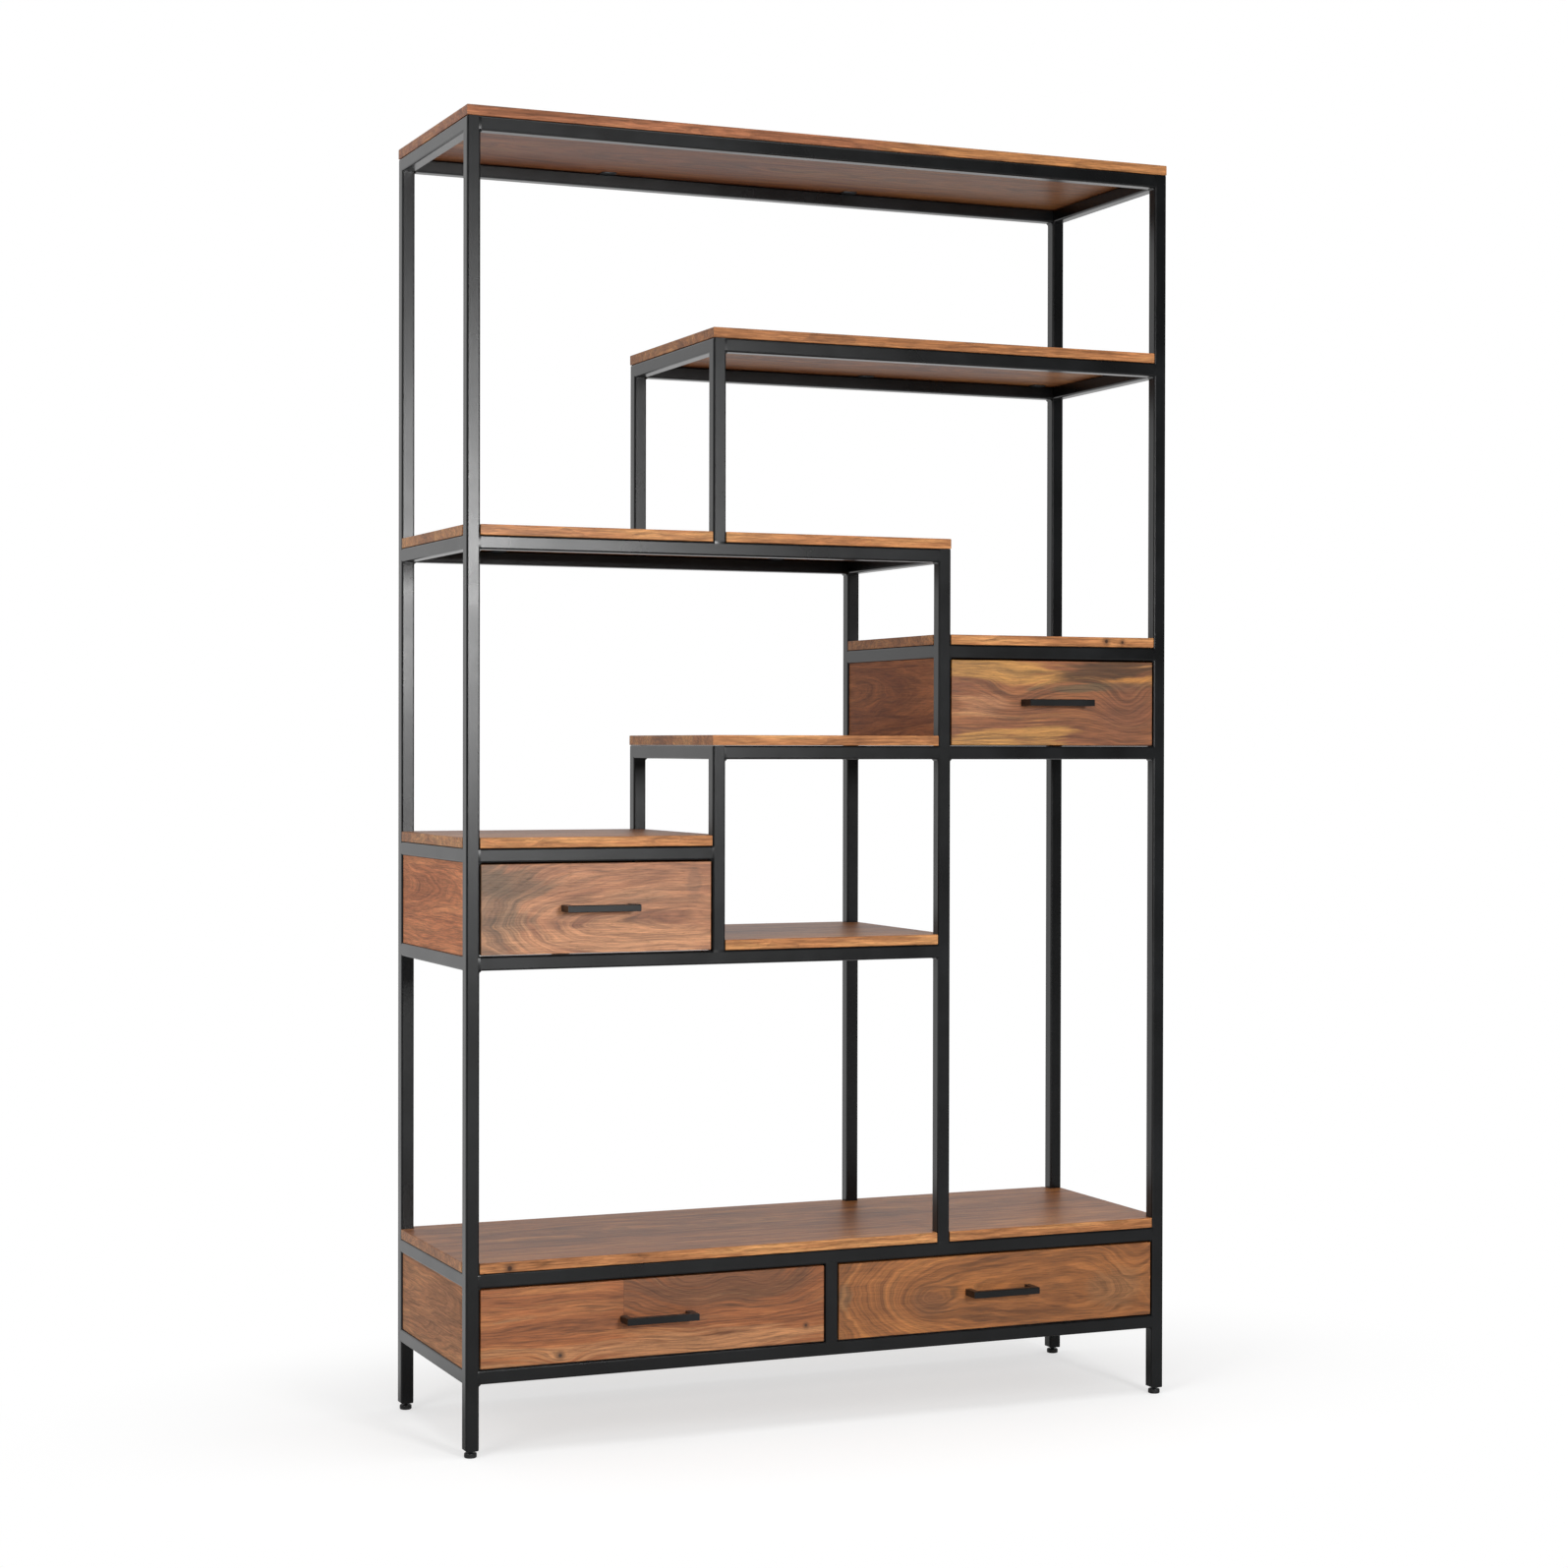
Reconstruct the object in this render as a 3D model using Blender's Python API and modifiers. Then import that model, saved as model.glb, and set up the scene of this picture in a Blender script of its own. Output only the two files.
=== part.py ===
# Bookcase: a welded frame of square steel tube with stepped wooden shelves and four drawers.
# Metres, +Z up. The origin is on the floor, at the middle of the whole object's box.
# Inside this file x is measured from the left outer face and y from the frame's front face.
import math

import bmesh
import bpy

# Overall size of the frame
WIDTH = 1.125
DEPTH = 0.350

# Square tube
TUBE = 0.020
TUBE_WALL = 0.0015
TUBE_RADIUS = 0.0025

# Left faces of the two inner columns, as shares of the width
COLUMN_ONE_SHARE = 0.3307
COLUMN_TWO_SHARE = 0.6542

# Height of the top of the highest ring of rails above the floor
TOP_RAIL = 1.8847

# Tops of the other rings, as shares of that height
SECOND_SHARE = 0.8458
THIRD_SHARE = 0.6887
RIGHT_BOX_SHARE = 0.6128
MIDDLE_SHARE = 0.5322
LEFT_BOX_SHARE = 0.4550
LOW_SHARE = 0.3743
BASE_SHARE = 0.1372
BOTTOM_SHARE = 0.0653

# Clearances
GAP = 0.0003
NOTCH_CLEARANCE = 0.0006
OVERRUN = 0.01

# Wooden boards, side panels and back panels
BOARD = 0.015
BOARD_EDGE = 0.001
PANEL_RECESS = 0.0025
PANEL_EDGE = 0.0008
BACK_PANEL = 0.006
BACK_INSET = 0.006

# Drawer fronts
FRONT_THICKNESS = 0.018
FRONT_RECESS = 0.001
FRONT_SIDE_GAP = 0.002
FRONT_TOP_GAP = 0.0025
FRONT_BOTTOM_GAP = 0.0015
FRONT_EDGE = 0.001

# Drawer boxes, hung on wooden runners that enter a groove in each side
BOX_BACK_GAP = 0.0247
BOX_TOP_GAP = 0.0175
BOX_WALL = 0.012
BOX_FLOOR = 0.006
BOX_LIFT = 0.006
BOX_SIDE_GAP = 0.0015
BOX_EDGE = 0.0008
GROOVE_DEPTH = 0.005
RUNNER_HEIGHT = 0.010

# Bar handles
HANDLE_LENGTH = 0.110
HANDLE_BAR = 0.010
HANDLE_REACH = 0.030
HANDLE_EDGE = 0.0008

# Levelling feet
LEG_END = 0.010
FOOT_RADIUS = 0.009
FOOT_HEIGHT = 0.007
FOOT_EDGE = 0.0015
STEM_RADIUS = 0.003
STEM_LENGTH = 0.020
STEM_CLEARANCE = 0.0004
FOOT_STEPS = 24

# Shares of a quarter turn that round the rim of a foot
RIM_SHARES = (0.0, 0.5, 1.0)

# Colour, roughness and metallic value of each finish
FINISHES = {
    "metal": ((0.022, 0.024, 0.026, 1.0), 0.42, 0.0),
    "board": ((0.34, 0.17, 0.09, 1.0), 0.38, 0.0),
    "panel": ((0.27, 0.13, 0.075, 1.0), 0.45, 0.0),
    "front": ((0.38, 0.20, 0.10, 1.0), 0.42, 0.0),
    "inner": ((0.45, 0.29, 0.17, 1.0), 0.6, 0.0),
    "rubber": ((0.015, 0.015, 0.016, 1.0), 0.6, 0.0),
}

# Places that follow from the sizes above
COLUMN_ONE = WIDTH * COLUMN_ONE_SHARE
COLUMN_TWO = WIDTH * COLUMN_TWO_SHARE
CENTRE_POST = (WIDTH - TUBE) / 2
RIGHT_POST = WIDTH - TUBE
SECOND_RAIL = TOP_RAIL * SECOND_SHARE
THIRD_RAIL = TOP_RAIL * THIRD_SHARE
RIGHT_BOX_RAIL = TOP_RAIL * RIGHT_BOX_SHARE
MIDDLE_RAIL = TOP_RAIL * MIDDLE_SHARE
LEFT_BOX_RAIL = TOP_RAIL * LEFT_BOX_SHARE
LOW_RAIL = TOP_RAIL * LOW_SHARE
BASE_RAIL = TOP_RAIL * BASE_SHARE
BOTTOM_RAIL = TOP_RAIL * BOTTOM_SHARE
HANDLE_OUT = HANDLE_REACH - FRONT_RECESS
FRONT_Y = (HANDLE_OUT - DEPTH) / 2
BACK_PANEL_Y = DEPTH - TUBE + BACK_INSET
BOX_HEIGHT = BASE_RAIL - TUBE - BOTTOM_RAIL - BOX_LIFT - BOX_TOP_GAP


def new_collection(name):
    """Add an empty collection to the scene."""
    group = bpy.data.collections.new(name)
    bpy.context.scene.collection.children.link(group)
    return group


def clear_scene():
    """Remove every object that the file opened with."""
    for thing in list(bpy.data.objects):
        bpy.data.objects.remove(thing, do_unlink=True)


def place(x, y, z):
    """Turn a place measured from the frame's front left corner into world metres."""
    return (x - WIDTH / 2, y + FRONT_Y, z)


def finish(thing, kind):
    """Give an object its own material."""
    colour, roughness, metallic = FINISHES[kind]
    material = bpy.data.materials.new(thing.name)
    material.use_nodes = True
    shader = material.node_tree.nodes["Principled BSDF"]
    shader.inputs["Base Color"].default_value = colour
    shader.inputs["Roughness"].default_value = roughness
    shader.inputs["Metallic"].default_value = metallic
    thing.data.materials.clear()
    thing.data.materials.append(material)


def add_object(name, mesh, group, location):
    """Link a mesh as an object at a place in world metres."""
    thing = bpy.data.objects.new(name, mesh)
    thing.location = location
    group.objects.link(thing)
    return thing


def box_mesh(name, size):
    """A box of the given size about its own centre."""
    mesh = bpy.data.meshes.new(name)
    shape = bmesh.new()
    bmesh.ops.create_cube(shape, size=1.0)
    bmesh.ops.scale(shape, vec=size, verts=shape.verts)
    shape.to_mesh(mesh)
    shape.free()
    return mesh


def middle(low, high):
    """The point halfway between two corners."""
    return tuple((a + b) / 2 for a, b in zip(low, high))


def span(low, high):
    """The size of the box between two corners."""
    return tuple(b - a for a, b in zip(low, high))


def round_edges(thing, radius, segments=2):
    """Bevel the sharp edges of an object."""
    bevel = thing.modifiers.new("edges", "BEVEL")
    bevel.width = radius
    bevel.segments = segments
    bevel.limit_method = "ANGLE"
    bevel.angle_limit = math.radians(40)


def block(name, low, high, kind, edge):
    """A box between two corners, with eased edges."""
    thing = add_object(name, box_mesh(name, span(low, high)), PARTS, place(*middle(low, high)))
    round_edges(thing, edge)
    finish(thing, kind)
    return thing


def cut(thing, name, mesh, location):
    """Take a hidden cutter away from an object."""
    cutter = add_object(name, mesh, CUTTERS, location)
    cutter.hide_render = True
    cutter.display_type = "WIRE"
    boolean = thing.modifiers.new(name, "BOOLEAN")
    boolean.operation = "DIFFERENCE"
    boolean.object = cutter


def cut_box(thing, name, low, high):
    """Cut a box-shaped space between two corners out of an object."""
    cut(thing, name, box_mesh(name, span(low, high)), place(*middle(low, high)))


def cylinder_mesh(name, radius, depth):
    """An upright cylinder about its own centre."""
    mesh = bpy.data.meshes.new(name)
    shape = bmesh.new()
    radii = {"radius1": radius, "radius2": radius}
    bmesh.ops.create_cone(shape, cap_ends=True, segments=FOOT_STEPS, depth=depth, **radii)
    shape.to_mesh(mesh)
    shape.free()
    return mesh


def plate(name, loops, thickness, edge, kind, location, rotation=(0.0, 0.0, 0.0), steps=1):
    """A flat outline with its windows, given a thickness and rounded edges."""
    curve = bpy.data.curves.new(name, "CURVE")
    curve.dimensions = "2D"
    curve.fill_mode = "BOTH"
    curve.extrude = thickness / 2 - edge
    curve.bevel_depth = edge
    curve.bevel_resolution = steps
    curve.offset = -edge
    for loop in loops:
        spline = curve.splines.new("POLY")
        spline.points.add(len(loop) - 1)
        for point, (u, v) in zip(spline.points, loop):
            point.co = (u, v, 0.0, 1.0)
        spline.use_cyclic_u = True
    outline = add_object(name + "_outline", curve, CUTTERS, location)
    outline.rotation_euler = rotation
    bpy.context.view_layer.update()
    shown = outline.evaluated_get(bpy.context.evaluated_depsgraph_get())
    mesh = bpy.data.meshes.new_from_object(shown)
    mesh.name = name
    weld(mesh)
    thing = add_object(name, mesh, PARTS, location)
    thing.matrix_world = outline.matrix_world
    bpy.data.objects.remove(outline, do_unlink=True)
    finish(thing, kind)
    return thing


def weld(mesh):
    """Close the seams between a plate's faces and its rounded edge."""
    shape = bmesh.new()
    shape.from_mesh(mesh)
    bmesh.ops.remove_doubles(shape, verts=shape.verts, dist=GAP / 30)
    bmesh.ops.recalc_face_normals(shape, faces=shape.faces)
    shape.to_mesh(mesh)
    shape.free()


def rectangle(low_u, low_v, high_u, high_v):
    """The four corners of an upright rectangle."""
    return [(low_u, low_v), (high_u, low_v), (high_u, high_v), (low_u, high_v)]


def ladder_loops(foot, rails, top):
    """Two uprights joined by rungs: the outline in depth and height, then its windows."""
    inner = DEPTH - TUBE
    lowest = min(rails) - TUBE
    outer = [(0.0, foot), (TUBE, foot), (TUBE, lowest), (inner, lowest), (inner, foot), (DEPTH, foot)]
    outer += [(DEPTH, top), (0.0, top)]
    loops = [outer]
    levels = sorted(rails)
    for below, above in zip(levels, levels[1:]):
        loops.append(rectangle(TUBE, below, inner, above - TUBE))
    return loops


def ladder(name, x, foot, rails):
    """A welded side frame that stands across the bookcase at x."""
    loops = ladder_loops(foot, rails, max(rails))
    turn = (math.radians(90), 0.0, math.radians(90))
    return plate(name, loops, TUBE, TUBE_RADIUS, "metal", place(x + TUBE / 2, 0.0, 0.0), turn)


def bore_legs(thing, x):
    """Threaded inserts in the two legs, which take the stems of the feet."""
    depth = FOOT_HEIGHT + STEM_LENGTH + TUBE_WALL - LEG_END
    for y, side in ((TUBE / 2, "front"), (DEPTH - TUBE / 2, "back")):
        name = f"{thing.name}_{side}_bore"
        mesh = cylinder_mesh(name, STEM_RADIUS + STEM_CLEARANCE, depth + OVERRUN)
        cut(thing, name, mesh, place(x + TUBE / 2, y, LEG_END + (depth - OVERRUN) / 2))


def rail_mesh(name, length, along):
    """An open-ended square tube along one axis, with a real wall."""
    mesh = bpy.data.meshes.new(name)
    size = [TUBE, TUBE, TUBE]
    size[along] = length
    shape = bmesh.new()
    bmesh.ops.create_cube(shape, size=1.0)
    bmesh.ops.scale(shape, vec=size, verts=shape.verts)
    ends = [face for face in shape.faces if abs(face.normal[along]) > math.cos(math.radians(45))]
    bmesh.ops.delete(shape, geom=ends, context="FACES_ONLY")
    shape.to_mesh(mesh)
    shape.free()
    return mesh


def tube(name, low, high, along):
    """A straight length of tube between two corners."""
    mesh = rail_mesh(name, high[along] - low[along], along)
    thing = add_object(name, mesh, PARTS, place(*middle(low, high)))
    round_edges(thing, TUBE_RADIUS)
    wall = thing.modifiers.new("wall", "SOLIDIFY")
    wall.thickness = TUBE_WALL
    wall.offset = -1.0
    finish(thing, "metal")
    return thing


def rail_pair(name, x_low, x_high, top):
    """The front and back rails of one ring, between two uprights."""
    for side, y in (("front", 0.0), ("back", DEPTH - TUBE)):
        low = (x_low + GAP, y, top - TUBE)
        high = (x_high - GAP, y + TUBE, top)
        tube(f"{name}_rail_{side}", low, high, 0)


def notched_outline(x_low, x_high, posts):
    """A board's outline, flush with the frame, with a notch round each post that passes it."""
    reach = TUBE + NOTCH_CLEARANCE
    front = []
    for x in sorted(posts):
        left = max(x - NOTCH_CLEARANCE, x_low)
        right = min(x + TUBE + NOTCH_CLEARANCE, x_high)
        if left > x_low:
            front += [(left, 0.0)]
        front += [(left, reach), (right, reach)]
        if right < x_high:
            front += [(right, 0.0)]
    if not posts or min(posts) > x_low:
        front = [(x_low, 0.0)] + front
    if not posts or max(posts) + TUBE < x_high:
        front = front + [(x_high, 0.0)]
    back = [(x, DEPTH - y) for x, y in reversed(front)]
    return front + back


def board(name, x_low, x_high, rail_top, posts):
    """A wooden shelf that lies on a ring of rails."""
    middle_z = rail_top + GAP + BOARD / 2
    outline = notched_outline(x_low, x_high, posts)
    plate(name, [outline], BOARD, BOARD_EDGE, "board", place(0.0, 0.0, middle_z))


def runner_centre(rail_top):
    """Height of the middle of a drawer's runners."""
    return rail_top + BOX_LIFT + BOX_HEIGHT / 2


def panel_outline(x_low, x_high, z_low, z_high, runner_z, left_reach, right_reach):
    """A panel's section across the bookcase, with a runner on either face where it has one."""
    below = runner_z - RUNNER_HEIGHT / 2
    above = runner_z + RUNNER_HEIGHT / 2
    outline = [(x_low, z_low), (x_high, z_low)]
    if right_reach:
        out = x_high + right_reach
        outline += [(x_high, below), (out, below), (out, above), (x_high, above)]
    outline += [(x_high, z_high), (x_low, z_high)]
    if left_reach:
        out = x_low - left_reach
        outline += [(x_low, above), (out, above), (out, below), (x_low, below)]
    return outline


def runner_panel(name, post_x, z_low, z_high, sides, y_high):
    """A wooden panel inside a side frame, made in one with its drawer runners."""
    reach = PANEL_RECESS + BOX_SIDE_GAP + GROOVE_DEPTH - GAP
    left_reach = reach if "left" in sides else 0.0
    right_reach = reach if "right" in sides else 0.0
    x_low = post_x + PANEL_RECESS
    x_high = post_x + TUBE - PANEL_RECESS
    runner_z = runner_centre(z_low)
    outline = panel_outline(x_low, x_high, z_low + GAP, z_high - GAP, runner_z, left_reach, right_reach)
    y_low = TUBE + GAP
    turn = (math.radians(90), 0.0, 0.0)
    middle_y = (y_low + y_high) / 2
    plate(name, [outline], y_high - y_low, PANEL_EDGE, "panel", place(0.0, middle_y, 0.0), turn)


def back_panel(name, x_low, x_high, z_low, z_high):
    """A thin panel between the back rails of a drawer bay."""
    low = (x_low + GAP, BACK_PANEL_Y, z_low + GAP)
    high = (x_high - GAP, BACK_PANEL_Y + BACK_PANEL, z_high - GAP)
    block(name, low, high, "inner", PANEL_EDGE)


def drawer_front(name, bay):
    """The wooden front, set in its bay."""
    x_low, x_high, z_low, z_high = bay
    low = (x_low + FRONT_SIDE_GAP, FRONT_RECESS, z_low + FRONT_BOTTOM_GAP)
    high = (x_high - FRONT_SIDE_GAP, FRONT_RECESS + FRONT_THICKNESS, z_high - FRONT_TOP_GAP)
    return block(name, low, high, "front", FRONT_EDGE)


def drawer_box(name, bay):
    """The open box behind a front, with a groove for a runner in each side."""
    x_low, x_high, z_low, z_high = bay
    y_low = FRONT_RECESS + FRONT_THICKNESS + GAP
    low = (x_low + BOX_SIDE_GAP, y_low, z_low + BOX_LIFT)
    high = (x_high - BOX_SIDE_GAP, BACK_PANEL_Y - BOX_BACK_GAP, z_low + BOX_LIFT + BOX_HEIGHT)
    thing = block(name, low, high, "inner", BOX_EDGE)
    inside_low = (low[0] + BOX_WALL, low[1] + BOX_WALL, low[2] + BOX_FLOOR)
    inside_high = (high[0] - BOX_WALL, high[1] - BOX_WALL, high[2] + OVERRUN)
    cut_box(thing, name + "_inside", inside_low, inside_high)
    half = RUNNER_HEIGHT / 2 + GAP
    middle_z = runner_centre(z_low)
    groove_start = TUBE - GAP
    for side, edge, away in (("left", low[0], -OVERRUN), ("right", high[0], OVERRUN)):
        inner = edge + math.copysign(GROOVE_DEPTH, -away)
        outer = edge + away
        groove_low = (min(inner, outer), groove_start, middle_z - half)
        groove_high = (max(inner, outer), high[1] + OVERRUN, middle_z + half)
        cut_box(thing, f"{name}_{side}_groove", groove_low, groove_high)
    return thing


def drawer_handle(name, bay):
    """A square bar bent to a shallow U, with both legs on the front."""
    x_low, x_high, z_low, z_high = bay
    half = HANDLE_LENGTH / 2
    bar = HANDLE_BAR
    outer = [(half, 0.0), (half, -HANDLE_REACH), (-half, -HANDLE_REACH), (-half, 0.0)]
    inner = [(bar - half, 0.0), (bar - half, bar - HANDLE_REACH)]
    inner += [(half - bar, bar - HANDLE_REACH), (half - bar, 0.0)]
    # The legs end a gap short of the front's face
    outline = [(u, v + (0.0 if v else -GAP)) for u, v in outer + inner]
    centre = place((x_low + x_high) / 2, FRONT_RECESS, (z_low + z_high) / 2)
    return plate(name, [outline], bar, HANDLE_EDGE, "metal", centre)


def drawer(name, bay):
    """One drawer: its front, box and handle move together on an empty at the front's middle."""
    x_low, x_high, z_low, z_high = bay
    carrier = bpy.data.objects.new(name, None)
    carrier.location = place((x_low + x_high) / 2, FRONT_RECESS, (z_low + z_high) / 2)
    PARTS.objects.link(carrier)
    pieces = [drawer_front(name + "_front", bay), drawer_box(name + "_box", bay)]
    pieces.append(drawer_handle(name + "_handle", bay))
    bpy.context.view_layer.update()
    for piece in pieces:
        piece.parent = carrier
        piece.matrix_parent_inverse = carrier.matrix_world.inverted()


def foot_profile():
    """Half section of a foot, from the top of its stem down its outer side."""
    rim_top = FOOT_HEIGHT - FOOT_EDGE
    points = [(0.0, FOOT_HEIGHT + STEM_LENGTH), (STEM_RADIUS, FOOT_HEIGHT + STEM_LENGTH)]
    points += [(STEM_RADIUS, FOOT_HEIGHT)]
    for share in RIM_SHARES:
        angle = math.radians(90) * (1 - share)
        points.append((FOOT_RADIUS + FOOT_EDGE * (math.cos(angle) - 1), rim_top + FOOT_EDGE * math.sin(angle)))
    for share in RIM_SHARES:
        angle = math.radians(90) * share
        points.append((FOOT_RADIUS + FOOT_EDGE * (math.cos(angle) - 1), FOOT_EDGE * (1 - math.sin(angle))))
    points.append((0.0, 0.0))
    return points


def foot(name, x, y):
    """A levelling foot: a round glide on a stem, turned about its own upright axis."""
    points = foot_profile()
    mesh = bpy.data.meshes.new(name)
    shape = bmesh.new()
    verts = [shape.verts.new((r, 0.0, z)) for r, z in points]
    for a, b in zip(verts, verts[1:]):
        shape.edges.new((a, b))
    shape.to_mesh(mesh)
    shape.free()
    thing = add_object(name, mesh, PARTS, place(x, y, 0.0))
    turn = thing.modifiers.new("turn", "SCREW")
    turn.steps = FOOT_STEPS
    turn.render_steps = FOOT_STEPS
    turn.use_merge_vertices = True
    turn.merge_threshold = GAP / 30
    finish(thing, "rubber")


def build_frame():
    """Side frames, the centre upright and the rails between them."""
    rights = [TOP_RAIL, SECOND_RAIL, RIGHT_BOX_RAIL, MIDDLE_RAIL, BASE_RAIL, BOTTOM_RAIL]
    lefts = [TOP_RAIL, THIRD_RAIL, LEFT_BOX_RAIL, LOW_RAIL, BASE_RAIL, BOTTOM_RAIL]
    for name, x, rails in (("left_end_frame", 0.0, lefts), ("right_end_frame", RIGHT_POST, rights)):
        bore_legs(ladder(name, x, LEG_END, rails), x)
    ladder("upper_step_frame", COLUMN_ONE, THIRD_RAIL + GAP, [SECOND_RAIL])
    ladder("lower_step_frame", COLUMN_ONE, LOW_RAIL + GAP, [MIDDLE_RAIL, LEFT_BOX_RAIL])
    ladder("column_frame", COLUMN_TWO, BASE_RAIL + GAP, [THIRD_RAIL, RIGHT_BOX_RAIL, MIDDLE_RAIL, LOW_RAIL])
    low = (CENTRE_POST, 0.0, BOTTOM_RAIL + GAP)
    high = (CENTRE_POST + TUBE, TUBE, BASE_RAIL - TUBE - GAP)
    tube("centre_upright", low, high, 2)
    rail_pair("top", TUBE, RIGHT_POST, TOP_RAIL)
    rail_pair("second", COLUMN_ONE + TUBE, RIGHT_POST, SECOND_RAIL)
    rail_pair("third", TUBE, COLUMN_TWO, THIRD_RAIL)
    rail_pair("right_box", COLUMN_TWO + TUBE, RIGHT_POST, RIGHT_BOX_RAIL)
    rail_pair("middle", COLUMN_ONE + TUBE, COLUMN_TWO, MIDDLE_RAIL)
    rail_pair("right_box_lower", COLUMN_TWO + TUBE, RIGHT_POST, MIDDLE_RAIL)
    rail_pair("left_box", TUBE, COLUMN_ONE, LEFT_BOX_RAIL)
    rail_pair("low", TUBE, COLUMN_TWO, LOW_RAIL)
    rail_pair("base", TUBE, RIGHT_POST, BASE_RAIL)
    rail_pair("bottom", TUBE, RIGHT_POST, BOTTOM_RAIL)


def build_boards():
    """The eight shelves, from the top down."""
    inside_one = COLUMN_ONE + TUBE + GAP
    board("top_board", 0.0, WIDTH, TOP_RAIL, [])
    board("second_board", COLUMN_ONE, WIDTH, SECOND_RAIL, [RIGHT_POST])
    board("third_board", 0.0, COLUMN_TWO + TUBE, THIRD_RAIL, [0.0, COLUMN_ONE])
    board("right_box_board", COLUMN_TWO, WIDTH, RIGHT_BOX_RAIL, [COLUMN_TWO, RIGHT_POST])
    board("middle_board", COLUMN_ONE, COLUMN_TWO - GAP, MIDDLE_RAIL, [])
    board("left_box_board", 0.0, COLUMN_ONE + TUBE, LEFT_BOX_RAIL, [0.0, COLUMN_ONE])
    board("low_board", inside_one, COLUMN_TWO + TUBE, LOW_RAIL, [COLUMN_TWO])
    board("base_board", 0.0, WIDTH, BASE_RAIL, [0.0, COLUMN_TWO, RIGHT_POST])


def build_panels():
    """Side panels with runners, the partition of the base and the back panels."""
    post_side = DEPTH - TUBE - GAP
    back_side = BACK_PANEL_Y - GAP
    right_top = RIGHT_BOX_RAIL - TUBE
    left_top = LEFT_BOX_RAIL - TUBE
    base_top = BASE_RAIL - TUBE
    runner_panel("left_box_outer_panel", 0.0, LOW_RAIL, left_top, ["right"], post_side)
    runner_panel("left_box_inner_panel", COLUMN_ONE, LOW_RAIL, left_top, ["left"], post_side)
    runner_panel("right_box_inner_panel", COLUMN_TWO, MIDDLE_RAIL, right_top, ["right"], post_side)
    runner_panel("right_box_outer_panel", RIGHT_POST, MIDDLE_RAIL, right_top, ["left"], post_side)
    runner_panel("base_left_panel", 0.0, BOTTOM_RAIL, base_top, ["right"], post_side)
    runner_panel("base_right_panel", RIGHT_POST, BOTTOM_RAIL, base_top, ["left"], post_side)
    runner_panel("base_partition", CENTRE_POST, BOTTOM_RAIL, base_top, ["left", "right"], back_side)
    back_panel("left_box_back", TUBE, COLUMN_ONE, LOW_RAIL, left_top)
    back_panel("right_box_back", COLUMN_TWO + TUBE, RIGHT_POST, MIDDLE_RAIL, right_top)
    back_panel("base_back", TUBE, RIGHT_POST, BOTTOM_RAIL, base_top)


def build_drawers():
    """The four drawers, each in its bay: left, right, bottom and top."""
    drawer("left_drawer", (TUBE, COLUMN_ONE, LOW_RAIL, LEFT_BOX_RAIL - TUBE))
    drawer("right_drawer", (COLUMN_TWO + TUBE, RIGHT_POST, MIDDLE_RAIL, RIGHT_BOX_RAIL - TUBE))
    drawer("base_left_drawer", (TUBE, CENTRE_POST, BOTTOM_RAIL, BASE_RAIL - TUBE))
    drawer("base_right_drawer", (CENTRE_POST + TUBE, RIGHT_POST, BOTTOM_RAIL, BASE_RAIL - TUBE))


def build_feet():
    """A levelling foot under each leg."""
    for side, x in (("left", TUBE / 2), ("right", WIDTH - TUBE / 2)):
        for end, y in (("front", TUBE / 2), ("back", DEPTH - TUBE / 2)):
            foot(f"foot_{end}_{side}", x, y)


clear_scene()
PARTS = new_collection("bookcase")
CUTTERS = new_collection("cutters")
build_frame()
build_boards()
build_panels()
build_drawers()
build_feet()
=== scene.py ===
import math

import bpy
from mathutils import Euler, Matrix, Vector


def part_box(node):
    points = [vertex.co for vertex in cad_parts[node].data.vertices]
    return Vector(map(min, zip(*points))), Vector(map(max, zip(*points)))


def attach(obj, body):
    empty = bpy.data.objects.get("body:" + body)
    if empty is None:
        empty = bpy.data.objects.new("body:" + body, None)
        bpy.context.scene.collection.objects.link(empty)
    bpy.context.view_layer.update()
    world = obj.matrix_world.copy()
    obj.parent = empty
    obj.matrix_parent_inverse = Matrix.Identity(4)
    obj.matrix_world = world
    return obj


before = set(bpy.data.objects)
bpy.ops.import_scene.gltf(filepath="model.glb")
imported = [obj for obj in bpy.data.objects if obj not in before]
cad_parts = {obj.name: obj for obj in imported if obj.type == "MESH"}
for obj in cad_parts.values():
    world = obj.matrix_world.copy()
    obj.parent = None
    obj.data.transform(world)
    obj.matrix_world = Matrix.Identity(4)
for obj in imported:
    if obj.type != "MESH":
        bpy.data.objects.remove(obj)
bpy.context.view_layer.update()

# The photograph's camera, as a real lens and place
CAMERA_PLACE = (-1.787, -4.145, 1.003)
CAMERA_TURN = 0.3966
CAMERA_PITCH = -0.0084
CAMERA_ROLL = 0.0020
LENS_MM = 67.99
SENSOR_MM = 36.0
SHIFT_ACROSS = 0.0160
SHIFT_UP = -0.0086

# Turns, as angles about X, Y and Z
STRAIGHT = (0.0, 0.0, 0.0)
UPRIGHT = (0.0, math.radians(90), 0.0)
UPSIDE_DOWN = (math.radians(180), 0.0, 0.0)
ALONG_CORNER = (math.radians(45), 0.0, math.radians(90))

# Ground welds: a short plug of the tube's own section at each joint
PLUG_LENGTH = 0.0036
PLUG_OVERLAP = 0.0006
PLUG_PROUD = 0.0001
PLUG_CORNER = 0.0025

# Weld beads under the rails
BEAD_SIZE = 0.0042
BEAD_CORNER_SHARE = 0.2
BEAD_LENGTH = 0.0150
BEAD_SHIFT = 0.0002

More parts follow.
